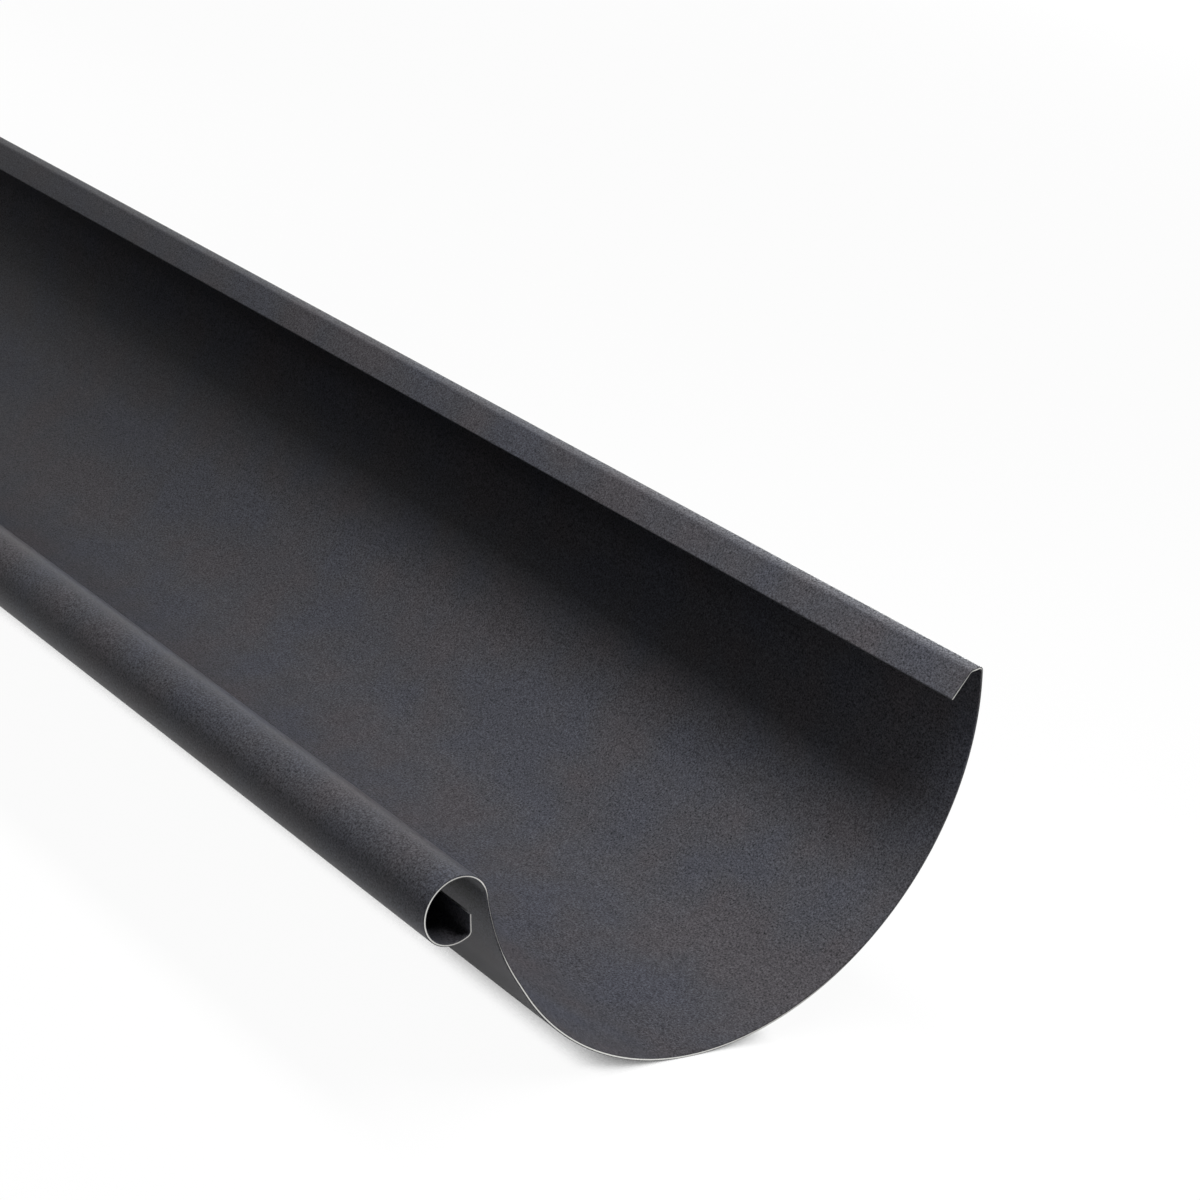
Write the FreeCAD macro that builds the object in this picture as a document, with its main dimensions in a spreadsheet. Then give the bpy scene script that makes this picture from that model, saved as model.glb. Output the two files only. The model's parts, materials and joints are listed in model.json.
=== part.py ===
import FreeCAD, Part
import math
import os
import Sketcher
from FreeCAD import Placement, Rotation, Vector

# Half-round eaves gutter: one stock length, roll-formed from a single strip of
# colour-coated steel sheet and open at both cut ends.
#
# The gutter runs along X. Its section is drawn on the YZ plane, +Y towards the
# house and +Z up, with the middle of the bowl at the origin. The rear edge is
# folded inwards into a short sloping flange, and the front edge is rolled
# outwards into a round bead with its lip turned in.

# name, real size in millimetres or degrees, what it sets
values = [
    ("length", 2000.0, "stock length between the cut ends"),
    ("gauge", 0.6, "thickness of the coated sheet"),
    ("bowl_diameter", 125.0, "inside diameter of the half-round bowl"),
    ("rear_wall", 2.6, "straight wall above the bowl at the rear"),
    ("corner_radius", 0.6, "inside radius of the top rear corner"),
    ("top_strip", 1.9, "flat strip between the corner and the fold"),
    ("fold_radius", 0.6, "inside radius of the fold into the flange"),
    ("flange_slope", 44.0, "slope of the rear flange below level"),
    ("flange_length", 6.8, "straight part of the rear flange"),
    ("flat_lean", 27.0, "lean of the short flat at the front of the bowl"),
    ("flat_length", 4.6, "length of that flat, up the front of the bowl"),
    ("brow_lean", 6.0, "lean of the front wall where the bead starts"),
    ("bead_diameter", 14.8, "outside diameter of the rolled bead"),
    ("bead_wrap", 285.0, "angle that the sheet runs round the bead"),
    ("lip_radius", 0.7, "inside radius of the bend into the lip"),
    ("lip_turn", 69.0, "angle of the bend into the lip"),
    ("lip_length", 3.8, "straight lip standing inside the bead"),
]

doc = FreeCAD.newDocument("HalfRoundGutter")
sheet = doc.addObject("Spreadsheet::Sheet", "Sizes")
size = {}
for row, (name, value, note) in enumerate(values, start=1):
    sheet.set("A%d" % row, note)
    sheet.set("B%d" % row, str(value))
    sheet.setAlias("B%d" % row, name)
    size[name] = value
doc.recompute()


def direction(angle):
    """Unit vector in the section plane, its angle counted from +Y towards +Z."""
    return Vector(math.cos(math.radians(angle)), math.sin(math.radians(angle)), 0)


def draw_face(sketch, route, edge, angle, depth):
    """Draws the face of the sheet that lies this deep behind its water face.

    The route is followed from the edge of the flange to the edge of the lip.
    Each step gets back its geometry index and the point numbers of its two
    ends, in the order in which the route passes them."""
    steps = {}
    point = edge + depth * direction(angle + 90)
    for name, *form in route:
        if len(form) == 1:
            end = point + form[0] * direction(angle)
            steps[name] = (sketch.addGeometry(Part.LineSegment(point, end)), 1, 2)
            point = end
            continue
        radius, turn = form
        left = turn > 0
        # a bend to the right has the water face inside, one to the left outside
        radius += size["gauge"] - depth if left else depth
        to_centre = direction(angle + 90) if left else direction(angle - 90)
        centre = point + radius * to_centre
        angle += turn
        if left:
            first, last = angle - turn - 90, angle - 90
        else:
            first, last = angle + 90, angle - turn + 90
        arc = Part.ArcOfCircle(
            Part.Circle(centre, Vector(0, 0, 1), radius), math.radians(first), math.radians(last)
        )
        ends = (1, 2) if left else (2, 1)
        steps[name] = (sketch.addGeometry(arc), *ends)
        point = centre + radius * (direction(angle - 90) if left else direction(angle + 90))
    return steps


# ---- body and section sketch

body = doc.addObject("PartDesign::Body", "Gutter")
body.Label = "gutter"
section = body.newObject("Sketcher::SketchObject", "Section")
across = next(o for o in body.Origin.OriginFeatures if o.Role == "YZ_Plane")
section.AttachmentSupport = [(across, "")]
section.MapMode = "FlatFace"

# straights are (name, length); bends are (name, inside radius, turn to the left)
route = [
    ("flange", size["flange_length"]),
    ("fold", size["fold_radius"], -size["flange_slope"]),
    ("strip", size["top_strip"]),
    ("corner", size["corner_radius"], -90.0),
    ("rear", size["rear_wall"]),
    ("bowl", size["bowl_diameter"] / 2, size["flat_lean"] - 180.0),
    ("flat", size["flat_length"]),
    ("brow", size["bowl_diameter"] / 2, size["brow_lean"] - size["flat_lean"]),
    ("bead", size["bead_diameter"] / 2 - size["gauge"], size["bead_wrap"]),
    ("hook", size["lip_radius"], size["lip_turn"]),
    ("lip", size["lip_length"]),
]
slope = size["flange_slope"]
fold_centre = Vector(
    size["bowl_diameter"] / 2 - size["corner_radius"] - size["top_strip"],
    size["rear_wall"] + size["corner_radius"] - size["fold_radius"],
    0,
)
edge = (
    fold_centre
    + size["fold_radius"] * direction(slope + 90)
    - size["flange_length"] * direction(slope)
)
water = draw_face(section, route, edge, slope, 0.0)
back = draw_face(section, route, edge, slope, size["gauge"])


def constrain(kind, *where, name=None, formula=None):
    """Adds one constraint; a named one takes its size from the sheet."""
    number = section.addConstraint(Sketcher.Constraint(kind, *where))
    if name:
        section.renameConstraint(number, name)
        section.setExpression("Constraints." + name, formula or "Sizes." + name)


# each face of the sheet is one smooth run, and the two faces lie side by side
names = [step[0] for step in route]
for face in (water, back):
    for one, other in zip(names, names[1:]):
        constrain("Tangent", face[one][0], face[one][2], face[other][0], face[other][1])
for name, *form in route:
    if len(form) == 1:
        constrain("Parallel", water[name][0], back[name][0])
    else:
        constrain("Coincident", water[name][0], 3, back[name][0], 3)
constrain("Distance", water["rear"][0], 1, back["rear"][0], size["gauge"], name="gauge")

# cut edges of the strip, square to the sheet
for front, behind, end in (
    (water["flange"][0], back["flange"][0], water["flange"][1]),
    (water["lip"][0], back["lip"][0], water["lip"][2]),
):
    cut = section.addGeometry(
        Part.LineSegment(section.getPoint(front, end), section.getPoint(behind, end))
    )
    constrain("Coincident", cut, 1, front, end)
    constrain("Coincident", cut, 2, behind, end)
    constrain("Perpendicular", cut, front)

# where the section stands
constrain("Coincident", water["bowl"][0], 3, -1, 1)
constrain("Vertical", water["rear"][0])
constrain("Horizontal", water["strip"][0])

# its sizes
for name, step in (
    ("flange_length", "flange"),
    ("top_strip", "strip"),
    ("rear_wall", "rear"),
    ("flat_length", "flat"),
    ("lip_length", "lip"),
):
    constrain("Distance", water[step][0], size[name], name=name)
constrain("Diameter", water["bowl"][0], size["bowl_diameter"], name="bowl_diameter")
constrain("Diameter", water["bead"][0], size["bead_diameter"], name="bead_diameter")
constrain("Radius", water["corner"][0], size["corner_radius"], name="corner_radius")
constrain("Radius", water["fold"][0], size["fold_radius"], name="fold_radius")
constrain("Radius", back["hook"][0], size["lip_radius"], name="lip_radius")
constrain("Equal", water["brow"][0], water["bowl"][0])
for name, step in (("flange_slope", "fold"), ("bead_wrap", "bead"), ("lip_turn", "hook")):
    constrain("Angle", water[step][0], math.radians(size[name]), name=name)
constrain(
    "Angle", water["bowl"][0], math.radians(180.0 - size["flat_lean"]),
    name="bowl_wrap", formula="180 - Sizes.flat_lean",
)
constrain(
    "Angle", water["brow"][0], math.radians(size["flat_lean"] - size["brow_lean"]),
    name="brow_turn", formula="Sizes.flat_lean - Sizes.brow_lean",
)
doc.recompute()

# ---- the whole length

run = body.newObject("PartDesign::Pad", "Run")
run.Profile = section
run.SideType = "Symmetric"
run.setExpression("Length", "Sizes.length")
doc.recompute()

# ---- how it lies
# Set down on a level floor, the bowl rolls until the middle of the weight, which
# the bead draws to the front, hangs straight below the middle of the bowl.
weight = body.Shape.Solids[0].CenterOfMass
roll = Rotation(Vector(1, 0, 0), math.degrees(math.atan2(weight.y, weight.z)) + 180.0)
lying = body.Shape.copy()
lying.Placement = Placement(Vector(0, 0, 0), roll)
box = lying.optimalBoundingBox()
body.Placement = Placement(Vector(0, -(box.YMin + box.YMax) / 2, -box.ZMin), roll)
doc.recompute()

# ---- check and write
for item in doc.Objects:
    if "Invalid" in item.State or "Error" in item.State:
        raise RuntimeError("%s failed: %s" % (item.Name, item.State))
if not section.FullyConstrained:
    raise RuntimeError("the section sketch is not fully constrained")
shape = body.Shape
if shape.isNull() or not shape.isValid() or len(shape.Solids) != 1:
    raise RuntimeError("the gutter is not one valid solid")

os.makedirs("parts", exist_ok=True)
shape.exportStep(os.path.join("parts", body.Label + ".step"))

strip = shape.Volume / size["gauge"] / size["length"]
box = shape.optimalBoundingBox()
print("strip width before forming %.1f mm" % strip)
print("steel at 7.85 g/cm3 %.2f kg" % (shape.Volume * 7.85e-6))
print("lies rolled forward by %.2f degrees" % math.degrees(roll.Angle))
print("box %.1f x %.1f x %.1f mm" % (box.XLength, box.YLength, box.ZLength))
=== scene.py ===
import json
import math

import bmesh
import bpy
from mathutils import Matrix, Vector


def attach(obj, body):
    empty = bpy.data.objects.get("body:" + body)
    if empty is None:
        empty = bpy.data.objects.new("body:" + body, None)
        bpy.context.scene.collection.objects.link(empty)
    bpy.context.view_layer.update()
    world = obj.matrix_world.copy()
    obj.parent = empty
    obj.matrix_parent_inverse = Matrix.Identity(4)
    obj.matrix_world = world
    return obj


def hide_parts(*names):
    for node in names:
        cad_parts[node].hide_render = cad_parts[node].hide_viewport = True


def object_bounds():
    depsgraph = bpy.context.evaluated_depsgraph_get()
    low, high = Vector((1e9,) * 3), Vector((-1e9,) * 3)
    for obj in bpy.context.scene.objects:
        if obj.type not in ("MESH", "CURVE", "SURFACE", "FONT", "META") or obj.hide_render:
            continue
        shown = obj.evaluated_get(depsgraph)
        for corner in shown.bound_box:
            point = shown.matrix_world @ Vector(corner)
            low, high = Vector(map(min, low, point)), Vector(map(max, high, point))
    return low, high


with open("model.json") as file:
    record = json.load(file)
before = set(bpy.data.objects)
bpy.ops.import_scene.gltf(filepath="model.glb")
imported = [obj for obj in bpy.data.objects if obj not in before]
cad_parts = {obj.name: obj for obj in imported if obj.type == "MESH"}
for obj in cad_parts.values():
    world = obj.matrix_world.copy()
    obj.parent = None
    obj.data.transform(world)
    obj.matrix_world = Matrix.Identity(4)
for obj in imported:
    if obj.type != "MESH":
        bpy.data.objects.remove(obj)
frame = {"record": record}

# One stock length of half-round gutter, roll-formed from colour-coated steel.
# The scene is in metres. Sizes that a maker would read off a rule are in
# millimetres, and mm turns them.
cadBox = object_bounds()
mm = 0.001
print("frame loaded, CAD box", [round(v, 4) for corner in cadBox for v in corner])


def linearColour(hexText):
    channels = [int(hexText[k:k + 2], 16) / 255 for k in (1, 3, 5)]
    return [c / 12.92 if c <= 0.04045 else ((c + 0.055) / 1.055) ** 2.4 for c in channels] + [1.0]


def newMaterial(name):
    material = bpy.data.materials.new(name)
    material.use_nodes = True
    material.node_tree.nodes.clear()
    return material, material.node_tree


# adds one node: inputs are values or the sockets that feed them, the rest are its settings
def addNode(tree, kind, inputs=None, **settings):
    node = tree.nodes.new(kind)
    for name, value in settings.items():
        setattr(node, name, value)
    for name, value in (inputs or {}).items():
        if isinstance(value, bpy.types.NodeSocket):
            tree.links.new(value, node.inputs[name])
        else:
            node.inputs[name].default_value = value
    return node


# how the gutter lies: its bowl's axis and its roll come from the record's mounts
mounts = {mount["name"]: mount for mount in frame["record"]["mounts"]}
bowlMiddle = Vector(mounts["bowl_saddle"]["pos_m"])
rimAxis = Vector(mounts["rear_rim"]["axis"])
roll = math.atan2(-rimAxis.y, rimAxis.z)
halfLength = (cadBox[1][0] - cadBox[0][0]) / 2
# from the gutter held with its mouth level, Y to the rear and Z up, to how it lies here
asItLies = Matrix.Translation(bowlMiddle) @ Matrix.Rotation(roll, 4, "X")
nearEnd = asItLies @ Matrix.Translation((halfLength, 0, 0))
print("bowl axis at", [round(v, 5) for v in bowlMiddle], "rolled", round(math.degrees(roll), 2))


# where the camera stands and looks, from the middle of the near end with the mouth level
camera = {
    "lens": 88.62,                      # mm
    "sensor": 36.0,                     # mm wide
    "eye": (380.36, -331.14, 298.70),   # mm
    "aim": (-124.47, 57.88, -30.00),    # mm
    "clip": (0.01, 100.0),              # m
}


def placeCamera():
    eye, aim = Vector(camera["eye"]) * mm, Vector(camera["aim"]) * mm
    back = (eye - aim).normalized()
    right = Vector((0, 0, 1)).cross(back).normalized()
    turn = Matrix((right, back.cross(right), back)).transposed().to_4x4()
    view = bpy.data.objects.new("Camera", bpy.data.cameras.new("Camera"))
    view.data.lens = camera["lens"]
    view.data.sensor_width = camera["sensor"]
    view.data.clip_start, view.data.clip_end = camera["clip"]
    view.matrix_world = nearEnd @ Matrix.Translation(eye) @ turn
    bpy.context.collection.objects.link(view)
    bpy.context.scene.camera = view


placeCamera()
print("camera placed")


gutter = {
    "gauge": 0.6,             # mm, as every size here; angles in degrees
    "bowlDiameter": 125.0,    # inside
    "rearWall": 2.6,
    "cornerRadius": 0.6,      # inside radii of the bends
    "topStrip": 1.9,
    "foldRadius": 0.6,
    "flangeSlope": 44.0,
    "flangeLength": 6.8,
    "flatLean": 27.0,
    "flatLength": 4.6,
    "browLean": 6.0,
    "beadDiameter": 14.8,     # outside
    "beadWrap": 285.0,
    "lipRadius": 0.7,
    "lipTurn": 69.0,
    "lipLength": 3.8,
    "bareCore": 0.30,         # bare steel that shows across a cut end, the coat drawn over the rest
    "cutRoll": 0.08,          # how far back from a cut end the coat starts to roll over it
    "slitRoll": 0.05,         # the same along the slit edges of the strip
    "support": 0.25,          # row of faces that keeps the shading of the edges narrow
    "rimHighlightRamp": 3.0,           # over which the painted highlight of the rim fades out down the flange
    "facet": 1.5,             # longest face round the bowl
    "facetTurn": 4.0,         # widest face round a bend
    "station": 40.0,          # between the rows of points along the length
    "weld": 0.0001,           # points nearer than this become one
}
coat, bareSteel, slitEdge = 0, 1, 2    # the order of the finishes on the gutter

# along each cut end: mm along the strip, share of bareCore that shows, and shine, a painted
# highlight that sets how bright that bare steel is there
cutEnd = [
    (0.0, 0.95, 0.55), (5.5, 0.6, 0.4), (6.6, 0.3, 0.1), (7.6, 0.9, 0.8), (9.2, 0.9, 0.8),
    (10.5, 0.2, 0.1), (16.0, 0.12, 0.0), (80.0, 0.12, 0.0), (95.0, 0.6, 0.6), (110.0, 0.75, 0.75),
    (125.0, 0.9, 0.9), (140.0, 1.0, 1.0), (160.0, 0.9, 0.9), (182.0, 0.8, 0.8), (190.0, 0.6, 0.6),
    (194.0, 0.2, 0.2), (206.0, 0.25, 0.2), (210.0, 0.9, 0.8), (216.0, 0.7, 0.5), (226.0, 1.0, 0.9),
    (232.0, 0.9, 0.8), (240.0, 0.8, 0.5), (250.0, 0.7, 0.4),
]
bareColumn, shineColumn = 1, 2


def alongCut(distance, column):
    for near, far in zip(cutEnd, cutEnd[1:]):
        if distance <= far[0]:
            share = (distance - near[0]) / (far[0] - near[0])
            return near[column] + (far[column] - near[column]) * share
    return cutEnd[-1][column]


def ahead(heading):
    return Vector((math.cos(math.radians(heading)), math.sin(math.radians(heading))))


# Follows the water face of the sheet and gives (point, heading, distance) for each row of
# faces. A step is (run,) or (inside radius, turn to the left).
def walkSheet(point, heading, steps):
    rows, distance = [(point, heading, 0.0)], 0.0
    for step in steps:
        if len(step) == 1:
            run = step[0]
            count = max(1, math.ceil(run / gutter["facet"]))
            for _ in range(count):
                point = point + ahead(heading) * run / count
                distance += run / count
                rows.append((point, heading, distance))
            continue
        radius, turn = step
        side = 1 if turn > 0 else -1
        radius += gutter["gauge"] if side > 0 else 0.0
        count = math.ceil(max(abs(turn) / gutter["facetTurn"],
                              math.radians(abs(turn)) * radius / gutter["facet"]))
        centre = point + ahead(heading + 90 * side) * radius
        for _ in range(count):
            heading += turn / count
            distance += math.radians(abs(turn)) * radius / count
            point = centre - ahead(heading + 90 * side) * radius
            rows.append((point, heading, distance))
    return rows


def sheetRows():
    g, slit, slope = gutter, gutter["slitRoll"], gutter["flangeSlope"]
    foldCentre = Vector((g["bowlDiameter"] / 2 - g["cornerRadius"] - g["topStrip"],
                         g["rearWall"] + g["cornerRadius"] - g["foldRadius"]))
    edge = foldCentre + g["foldRadius"] * ahead(slope + 90) - g["flangeLength"] * ahead(slope)
    return walkSheet(edge, slope, [
        (slit,), (g["support"],), (g["flangeLength"] - slit - g["support"],),
        (g["foldRadius"], -slope),
        (g["topStrip"],),
        (g["cornerRadius"], -90.0),
        (g["rearWall"],),
        (g["bowlDiameter"] / 2, g["flatLean"] - 180.0),
        (g["flatLength"],),
        (g["bowlDiameter"] / 2, g["browLean"] - g["flatLean"]),
        (g["beadDiameter"] / 2 - g["gauge"], g["beadWrap"]),
        (g["lipRadius"], g["lipTurn"]),
        (g["lipLength"] - slit - g["support"],), (g["support"],), (slit,),
    ])


def buildGutter():
    g, rows = gutter, sheetRows()
    gauge, slit, fold = g["gauge"], g["slitRoll"], g["cutRoll"]
    first, last, skin = rows[0], rows[-1], rows[1:-1]
    count = len(skin)

    def into(row, depth):
        return row[0] + ahead(row[1] + 90) * depth

    def coatOver(row):
        return (gauge - g["bareCore"] * alongCut(row[2], bareColumn)) / 2

    # painted highlight: the rim, from the fold of the flange to the corner, is painted paler on its
    # upper face
    rimStart = g["flangeLength"]
    rimEnd = (rimStart + g["topStrip"] + math.radians(g["flangeSlope"]) * g["foldRadius"]
              + math.radians(90) * g["cornerRadius"])

    def paintedRimHighlight(row):
        return min(max((row[2] - rimStart) / g["rimHighlightRamp"], 0.0), 1.0) if row[2] < rimEnd else 0.0

    # Once round the sheet: water face out, slit edge at the lip, back face home, slit edge.
    # Each point has its distance across the strip, and how much painted rim highlight it takes.
    ring = [(into(row, 0.0), row[2], 0.0) for row in skin]
    ring += [(into(last, depth), last[2], 0.0) for depth in (slit, gauge - slit)]
    ring += [(into(row, gauge), row[2], paintedRimHighlight(row)) for row in reversed(skin)]
    ring += [(into(first, depth), first[2], 0.0) for depth in (gauge - slit, slit)]
    # the same way round a cut end, where the coat stops and the bare core begins
    core = [(into(row, coatOver(row)), row[2], 0.0) for row in skin + [skin[-1]]]
    core += [(into(row, gauge - coatOver(row)), row[2], 0.0)
             for row in [skin[-1]] + skin[::-1] + [skin[0]]]
    core += [(into(skin[0], coatOver(skin[0])), skin[0][2], 0.0)]
    around = len(ring)

    # the point of the core on the back face's side that lies across from point k
    def across(k):
        return around - 3 - k

    end = halfLength / mm
    inner = end - fold - g["support"]
    spans = math.ceil(2 * inner / g["station"])
    stations = [fold - end] + [inner * (2 * k / spans - 1) for k in range(spans + 1)] + [end - fold]

    mesh = bmesh.new()
    sheet = mesh.loops.layers.uv.new("sheet")
    # painted highlight along each cut end, one shine per point
    paintedCutShine = mesh.verts.layers.float.new("paintedCutShine")
    # painted highlight of the rim, one weight per point
    rimHighlightWeight = mesh.verts.layers.float.new("rimHighlightWeight")
    place = asItLies @ Matrix.Scale(mm, 4)
    laid = {}    # where each point lies on the flat strip, across and along

    def addRow(points, x, bare=False):
        made = []
        for point, distance, highlightWeight in points:
            vert = mesh.verts.new(place @ Vector((x, point.x, point.y)))
            vert[paintedCutShine] = alongCut(distance, shineColumn) if bare else 0.0
            vert[rimHighlightWeight] = highlightWeight
            laid[vert] = (distance * mm, x * mm)
            made.append(vert)
        return made

    def face(verts, finish, smooth=True):
        made = mesh.faces.new(verts)
        made.material_index = finish
        made.smooth = smooth
        for loop in made.loops:
            loop[sheet].uv = laid[loop.vert]

    loops = [addRow(ring, x) for x in stations]
    slits = (count, around - 2)    # the faces of the two slit edges
    for near, far in zip(loops, loops[1:]):
        for k in range(around):
            n = (k + 1) % around
            face((near[k], near[n], far[n], far[k]), slitEdge if k in slits else coat)
    for outline, x, side in ((loops[-1], end, 1), (loops[0], -end, -1)):
        bare = addRow(core, x, bare=True)
        for k in range(around):
            n = (k + 1) % around
            face((outline[k], outline[n], bare[n], bare[k])[::side], coat, smooth=False)
        for k in range(count - 1):
            face((bare[k], bare[k + 1], bare[across(k + 1)], bare[across(k)])[::side],
                 bareSteel, smooth=False)

    bmesh.ops.remove_doubles(mesh, verts=mesh.verts, dist=g["weld"] * mm)
    bmesh.ops.recalc_face_normals(mesh, faces=mesh.faces)
    for edge in mesh.edges:
        edge.smooth = len({f.material_index for f in edge.link_faces}) == 1
    data = bpy.data.meshes.new("gutterLength")
    mesh.to_mesh(data)
    mesh.free()
    piece = bpy.data.objects.new("gutterLength", data)
    bpy.context.collection.objects.link(piece)
    print("gutter:", len(data.polygons), "faces,", len(stations), "rows of", around, "points")
    return piece


noiseRange = {"From Min": 0.3, "From Max": 0.7}    # nearly all of a noise lies between these

# Polyester coil coat, semi-matt with a fine grain, roller-applied and baked on the strip:
# the eye gets a dull bluish charcoal with a broad soft sheen, never a mirror.
coilCoat = {
    "colour": "#3b3b3f",
    "coolColour": "#3a3b41",        # where the pigment lies a little bluer
    "warmColour": "#3d3b3e",        # and a little warmer
    "blotch": 22.0,                 # mm, size of those areas
    "blotchStops": (0.36, 0.64),    # noise at which the pigment is fully cool, and fully warm
    "grain": 0.22,                  # mm across; the real grain, about 0.15, is too fine to show
    "grainRoughness": 0.9,          # how much of the grain is finer still
    "grainDepth": 0.9,              # share by which a grain lightens or darkens the colour
    "paintedRimHighlight": "#9c9ea2",            # painted highlight: paler specks along the rim
    "rimHighlightShare": 0.4,                # most of that colour on a speck
    "rimHighlightTops": (0.42, 0.62),        # noise from which a grain takes the painted highlight, and takes it fully
    "rollMark": 1.6,                # mm between the faint marks that the rolls leave lengthwise
    "rollMarkLength": 180.0,        # mm
    "rollMarkDepth": 0.03,          # share by which a mark lightens or darkens the colour
    "roughness": 0.36,
    "dullGrain": 0.06,              # roughness that a grain adds or takes away
    "gloss": 0.07,                  # specular level of a semi-matt polyester
    "bump": 0.25,
    "bumpHeight": 0.02,             # mm
}


def makeCoilCoat():
    c = coilCoat
    material, tree = newMaterial("polyesterCoilCoat")
    place = addNode(tree, "ShaderNodeTexCoord").outputs["Object"]
    strip = addNode(tree, "ShaderNodeUVMap", uv_map="sheet").outputs["UV"]

    # where the pigment is cooler and where it is warmer
    blotch = addNode(tree, "ShaderNodeTexNoise", {
        "Vector": place, "Scale": 1 / (c["blotch"] * mm), "Detail": 2.0, "Roughness": 0.5})
    shift = addNode(tree, "ShaderNodeValToRGB", {"Fac": blotch.outputs["Fac"]})
    stops = shift.color_ramp.elements
    stops[0].position, stops[1].position = c["blotchStops"]
    stops[0].color, stops[1].color = linearColour(c["coolColour"]), linearColour(c["warmColour"])
    stops.new(0.5).color = linearColour(c["colour"])

    # the grain of the baked coat, and the marks of the rolls along the strip
    grain = addNode(tree, "ShaderNodeTexNoise", {
        "Vector": place, "Scale": 0.5 / (c["grain"] * mm), "Detail": 2.0,
        "Roughness": c["grainRoughness"]}).outputs["Fac"]
    along = addNode(tree, "ShaderNodeMapping", {
        "Vector": strip,
        "Scale": (0.5 / (c["rollMark"] * mm), 0.5 / (c["rollMarkLength"] * mm), 1.0)})
    marks = addNode(tree, "ShaderNodeTexNoise", {
        "Vector": along.outputs["Vector"], "Scale": 1.0, "Detail": 2.0}, noise_dimensions="2D")
    grainTone = addNode(tree, "ShaderNodeMapRange", {
        "Value": grain, **noiseRange,
        "To Min": 1 - c["grainDepth"], "To Max": 1 + c["grainDepth"]})
    markTone = addNode(tree, "ShaderNodeMapRange", {
        "Value": marks.outputs["Fac"], **noiseRange,
        "To Min": 1 - c["rollMarkDepth"], "To Max": 1 + c["rollMarkDepth"]})
    tone = addNode(tree, "ShaderNodeMath", {
        0: grainTone.outputs["Result"], 1: markTone.outputs["Result"]}, operation="MULTIPLY")
    clean = addNode(tree, "ShaderNodeVectorMath", {
        0: shift.outputs["Color"], "Scale": tone.outputs["Value"]}, operation="SCALE")

    # painted highlight: the tops of the grain are painted pale along the rim
    rimHighlightWeight = addNode(tree, "ShaderNodeAttribute", attribute_name="rimHighlightWeight").outputs["Fac"]
    highlightFrom, highlightTo = c["rimHighlightTops"]
    tops = addNode(tree, "ShaderNodeMapRange", {
        "Value": grain, "From Min": highlightFrom, "From Max": highlightTo, "To Max": c["rimHighlightShare"]})
    pale = addNode(tree, "ShaderNodeMath", {
        0: rimHighlightWeight, 1: tops.outputs["Result"]}, operation="MULTIPLY")
    colour = addNode(tree, "ShaderNodeMix", {
        "Factor": pale.outputs["Value"], "A": clean.outputs["Vector"],
        "B": linearColour(c["paintedRimHighlight"])}, data_type="RGBA")

    # a grain that stands up is also a little duller
    dull = addNode(tree, "ShaderNodeMapRange", {
        "Value": grain, **noiseRange,
        "To Min": c["roughness"] - c["dullGrain"], "To Max": c["roughness"] + c["dullGrain"]})
    relief = addNode(tree, "ShaderNodeBump", {
        "Height": grain, "Strength": c["bump"], "Distance": c["bumpHeight"] * mm})
    shader = addNode(tree, "ShaderNodeBsdfPrincipled", {
        "Base Color": colour.outputs["Result"], "Roughness": dull.outputs["Result"],
        "Specular IOR Level": c["gloss"], "Normal": relief.outputs["Normal"]})
    addNode(tree, "ShaderNodeOutputMaterial", {"Surface": shader.outputs["BSDF"]})
    return material


# Bare low-carbon steel, sheared: the eye gets a thin bright line round each cut end, its brightness
# along the strip a painted highlight, and duller where it tore.
shearedSteel = {
    "bright": "#e2e2de",
    "dull": "#7c7b78",
    "tear": 0.5,          # mm between the tear marks across the thickness
    "tornShine": 0.75,    # share of the shine that is left where it tore
    "roughness": 0.32,
}


def makeShearedSteel():
    c = shearedSteel
    material, tree = newMaterial("shearedSteel")
    strip = addNode(tree, "ShaderNodeUVMap", uv_map="sheet").outputs["UV"]
    # painted highlight: the shine listed along each cut end makes the bare steel brighter
    shine = addNode(tree, "ShaderNodeAttribute", attribute_name="paintedCutShine").outputs["Fac"]
    tear = addNode(tree, "ShaderNodeTexNoise", {
        "Vector": strip, "Scale": 1 / (c["tear"] * mm), "Detail": 3.0}, noise_dimensions="2D")
    torn = addNode(tree, "ShaderNodeMapRange", {
        "Value": tear.outputs["Fac"], **noiseRange, "To Min": c["tornShine"], "To Max": 1.0})
    share = addNode(tree, "ShaderNodeMath", {
        0: shine, 1: torn.outputs["Result"]}, operation="MULTIPLY")
    colour = addNode(tree, "ShaderNodeMix", {
        "Factor": share.outputs["Value"], "A": linearColour(c["dull"]),
        "B": linearColour(c["bright"])}, data_type="RGBA")
    shader = addNode(tree, "ShaderNodeBsdfPrincipled", {
        "Base Color": colour.outputs["Result"], "Metallic": 1.0, "Roughness": c["roughness"]})
    addNode(tree, "ShaderNodeOutputMaterial", {"Surface": shader.outputs["BSDF"]})
    return material


# The slit edge of galvanised strip, weathered matt: the eye gets a thin zinc-grey line.
slitZinc = {
    "colour": "#6d6e70",
    "fleck": 1.2,               # mm across the patches of duller zinc
    "fleckTone": (0.7, 1.1),    # how dark and how light they are
    "metallic": 0.8,            # a skin of dull oxide lies on the zinc
    "roughness": 0.6,
}


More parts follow.
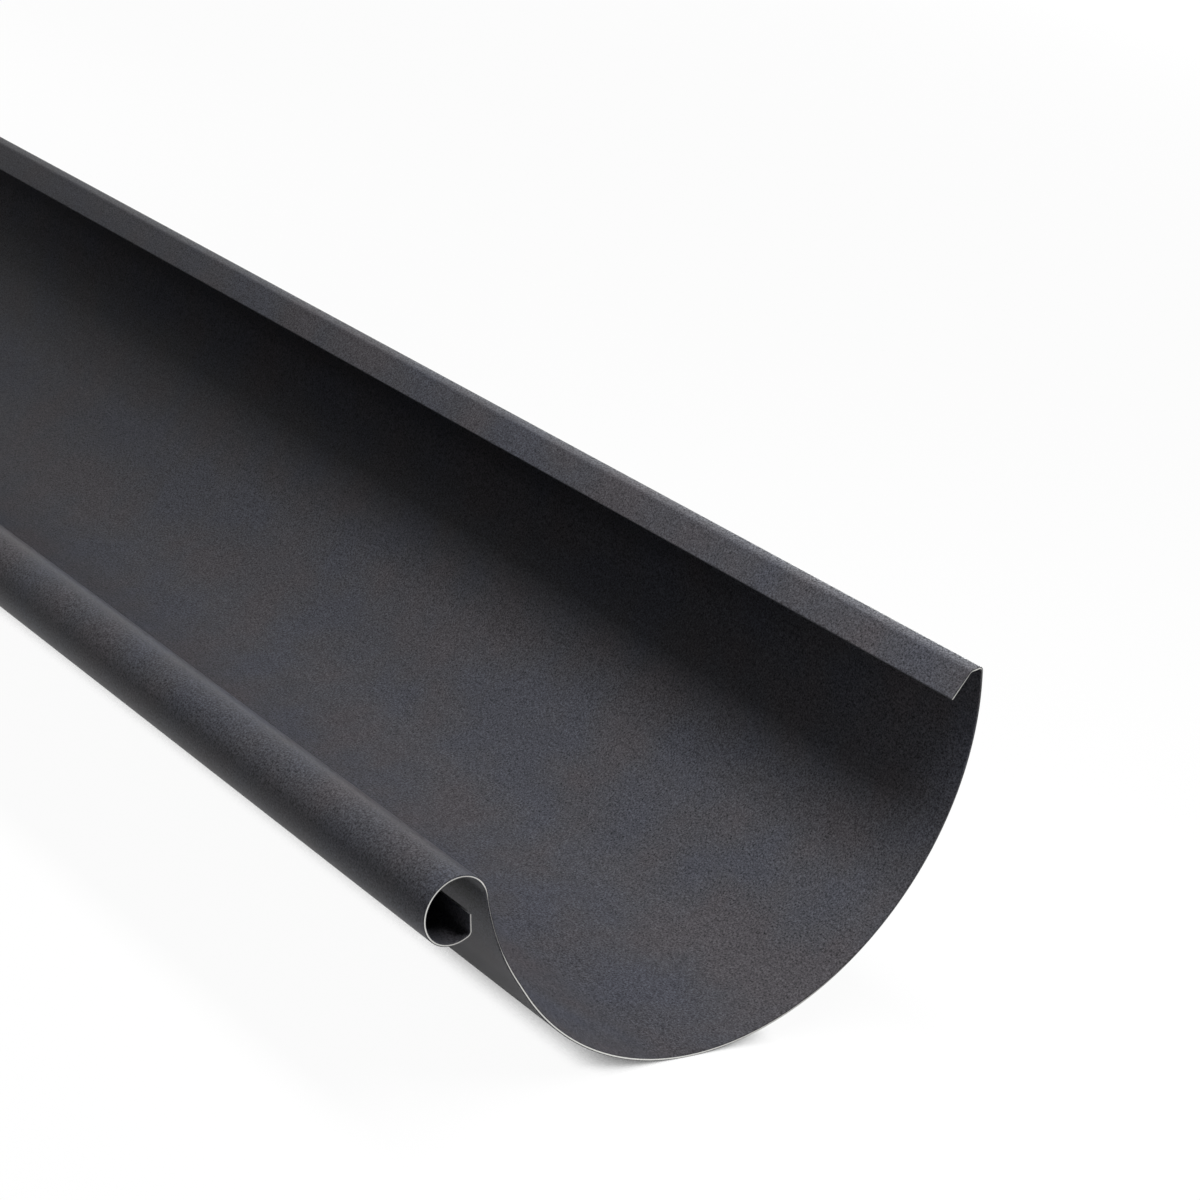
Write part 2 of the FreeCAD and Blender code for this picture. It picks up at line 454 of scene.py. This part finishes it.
def makeSlitZinc():
    c = slitZinc
    material, tree = newMaterial("slitGalvanisedEdge")
    place = addNode(tree, "ShaderNodeTexCoord").outputs["Object"]
    fleck = addNode(tree, "ShaderNodeTexNoise", {
        "Vector": place, "Scale": 1 / (c["fleck"] * mm), "Detail": 2.0})
    darkest, lightest = c["fleckTone"]
    tone = addNode(tree, "ShaderNodeMapRange", {
        "Value": fleck.outputs["Fac"], **noiseRange, "To Min": darkest, "To Max": lightest})
    colour = addNode(tree, "ShaderNodeVectorMath", {
        0: linearColour(c["colour"])[:3], "Scale": tone.outputs["Result"]}, operation="SCALE")
    shader = addNode(tree, "ShaderNodeBsdfPrincipled", {
        "Base Color": colour.outputs["Vector"], "Metallic": c["metallic"],
        "Roughness": c["roughness"]})
    addNode(tree, "ShaderNodeOutputMaterial", {"Surface": shader.outputs["BSDF"]})
    return material


gutterPiece = buildGutter()
for material in (makeCoilCoat(), makeShearedSteel(), makeSlitZinc()):
    gutterPiece.data.materials.append(material)
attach(gutterPiece, "root")
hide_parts("gutter")
print("gutter built")


studio = {
    "floorSize": 24.0,           # m
    "floorColour": "#e8e8e8",
    "floorGlow": 0.96,           # share of the floor's white that no shadow reaches
    "contactReach": 7.0,         # mm, how far from where the gutter touches its painted dark line reaches
    "shadeReach": 70.0,          # mm, the same as gloss shows it, from below the gutter
    "contactOpen": (0.08, 0.5),  # share of open room where the line is darkest, and where it ends
    "contactTone": 0.06,         # how bright the line is where it is darkest
    "contactSamples": 4,
    "ambient": 0.08,             # light from all round
    "surround": 1.0,             # how bright the room looks, and looks in gloss
}


# 1 for a ray that only looks, from the camera, in gloss or through glass, and 0 for one that lights
def looking(tree, path):
    seen = addNode(tree, "ShaderNodeMath", {
        0: path["Is Camera Ray"], 1: path["Is Glossy Ray"]}, operation="MAXIMUM")
    seen = addNode(tree, "ShaderNodeMath", {
        0: seen.outputs["Value"], 1: path["Is Transmission Ray"]}, operation="MAXIMUM")
    return seen.outputs["Value"]


# Matt white card: pale all over, mostly from its own glow. The soft shadow that the gutter throws
# on it comes from the lamps; the dark line where the two meet, and the shade below it in gloss, are
# painted shade.
def makeWhiteCard():
    s = studio
    material, tree = newMaterial("mattWhiteCard")
    path = addNode(tree, "ShaderNodeLightPath").outputs
    share = addNode(tree, "ShaderNodeMath", {
        0: looking(tree, path), 1: s["floorGlow"]}, operation="MULTIPLY")
    reach = addNode(tree, "ShaderNodeMapRange", {
        "Value": path["Is Glossy Ray"],
        "To Min": s["contactReach"] * mm, "To Max": s["shadeReach"] * mm})
    # painted shade: occlusion near the gutter darkens the floor's glow
    contact = addNode(tree, "ShaderNodeAmbientOcclusion", {
        "Distance": reach.outputs["Result"]}, samples=s["contactSamples"])
    darkest, ended = s["contactOpen"]
    shade = addNode(tree, "ShaderNodeMapRange", {
        "Value": contact.outputs["AO"], "From Min": darkest, "From Max": ended,
        "To Min": s["contactTone"], "To Max": 1.0})
    card = addNode(tree, "ShaderNodeBsdfDiffuse", {"Color": linearColour(s["floorColour"])})
    glow = addNode(tree, "ShaderNodeEmission", {"Color": shade.outputs["Result"], "Strength": 1.0})
    mixed = addNode(tree, "ShaderNodeMixShader", {
        "Fac": share.outputs["Value"], 1: card.outputs["BSDF"], 2: glow.outputs["Emission"]})
    addNode(tree, "ShaderNodeOutputMaterial", {"Surface": mixed.outputs["Shader"]})
    return material


def layFloor():
    half = studio["floorSize"] / 2
    data = bpy.data.meshes.new("floor")
    corners = [(-half, -half, 0), (half, -half, 0), (half, half, 0), (-half, half, 0)]
    data.from_pydata(corners, [], [(0, 1, 2, 3)])
    data.materials.append(makeWhiteCard())
    floor = bpy.data.objects.new("floor", data)
    bpy.context.collection.objects.link(floor)


# lamps: where each stands and points, in mm from the middle of the near end with the mouth
# level, its size along and across, its power in watts, and how wide it spreads in degrees
lamps = {
    "overheadSoftbox": ((20, 105, 360), (20, 105, 0), (360, 110), 3.3, 180),
    "farRunSoftbox": ((-1400, 100, 450), (-1400, 100, 0), (1200, 210), 2.2, 70),
    "leftFill": ((-1360, -1360, 2300), (0, 0, 0), (900, 900), 6.5, 180),
    # low before the far half: the outside of the bead and of the front wall
    "frontFill": ((-1500, -1500, 540), (-1500, 0, -30), (1200, 300), 2.0, 50),
    # low behind the gutter: it reaches the outside of the rear wall and nothing inside the bowl
    "rearFill": ((-1000, 2580, -250), (-1000, 0, -30), (2400, 300), 40.0, 180),
}


def hangLamps():
    for name, (stand, target, size, power, spread) in lamps.items():
        lamp = bpy.data.objects.new(name, bpy.data.lights.new(name, "AREA"))
        lamp.data.shape = "RECTANGLE"
        lamp.data.size, lamp.data.size_y = (side * mm for side in size)
        lamp.data.energy = power
        lamp.data.spread = math.radians(spread)
        # the panel's long side runs along the gutter
        out = Vector(stand) - Vector(target)
        turn = out.to_track_quat("Z", "Y").to_matrix().to_4x4()
        lamp.matrix_world = nearEnd @ Matrix.Translation(Vector(stand) * mm) @ turn
        lamp.visible_camera = False
        bpy.context.collection.objects.link(lamp)


def lightRoom():
    room = bpy.data.worlds.new("studioRoom")
    room.use_nodes = True
    tree = room.node_tree
    tree.nodes.clear()
    path = addNode(tree, "ShaderNodeLightPath").outputs
    level = addNode(tree, "ShaderNodeMapRange", {
        "Value": looking(tree, path), "To Min": studio["ambient"], "To Max": studio["surround"]})
    glow = addNode(tree, "ShaderNodeBackground", {
        "Color": (1.0, 1.0, 1.0, 1.0), "Strength": level.outputs["Result"]})
    addNode(tree, "ShaderNodeOutputWorld", {"Surface": glow.outputs["Background"]})
    bpy.context.scene.world = room


layFloor()
hangLamps()
lightRoom()
bpy.context.scene.view_settings.view_transform = "Standard"
print("floor laid, lamps hung")
